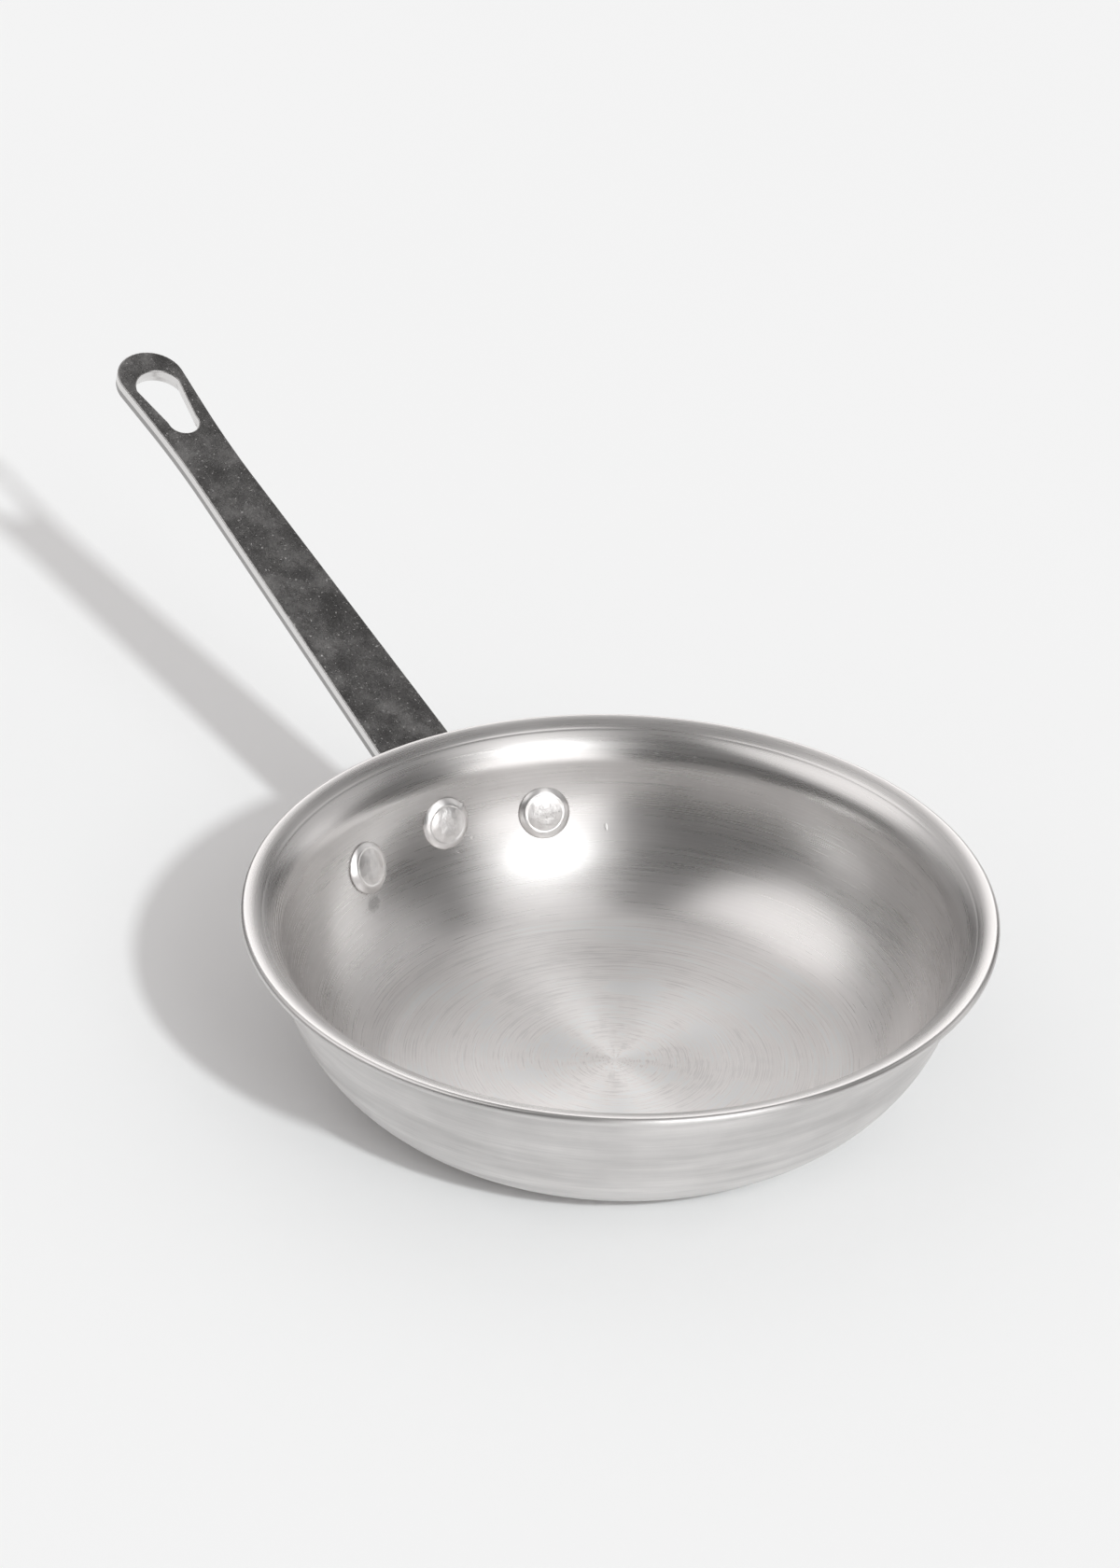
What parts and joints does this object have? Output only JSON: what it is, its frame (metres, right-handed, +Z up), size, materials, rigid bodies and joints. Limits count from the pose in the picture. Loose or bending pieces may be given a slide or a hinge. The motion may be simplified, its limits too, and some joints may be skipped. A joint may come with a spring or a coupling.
{
  "type": "frying pan",
  "caption": "Open round frying pan: a spun bowl with a flat floor, bowed wall and flared lip, and a flat strip handle with a hanging hole, riveted to the wall.",
  "frame": {"origin": "middle of the flat base, on the surface the pan stands on", "axes": "+Z up along the bowl's axis, +X along the handle from the bowl to the handle's tip, +Y to the left when looking along the handle"},
  "size_m": [0.3714, 0.21, 0.0996],
  "materials": {
    "spun_aluminium": "satin, with fine turned marks round the axis",
    "plated_steel": "dull plated, smudged",
    "rivet_aluminium": "bright, pressed"
  },
  "bodies": {
    "root": {"pan_body": "spun_aluminium", "handle": "plated_steel", "rivet_left": "rivet_aluminium", "rivet_centre": "rivet_aluminium", "rivet_right": "rivet_aluminium"}
  },
  "joints": []
}
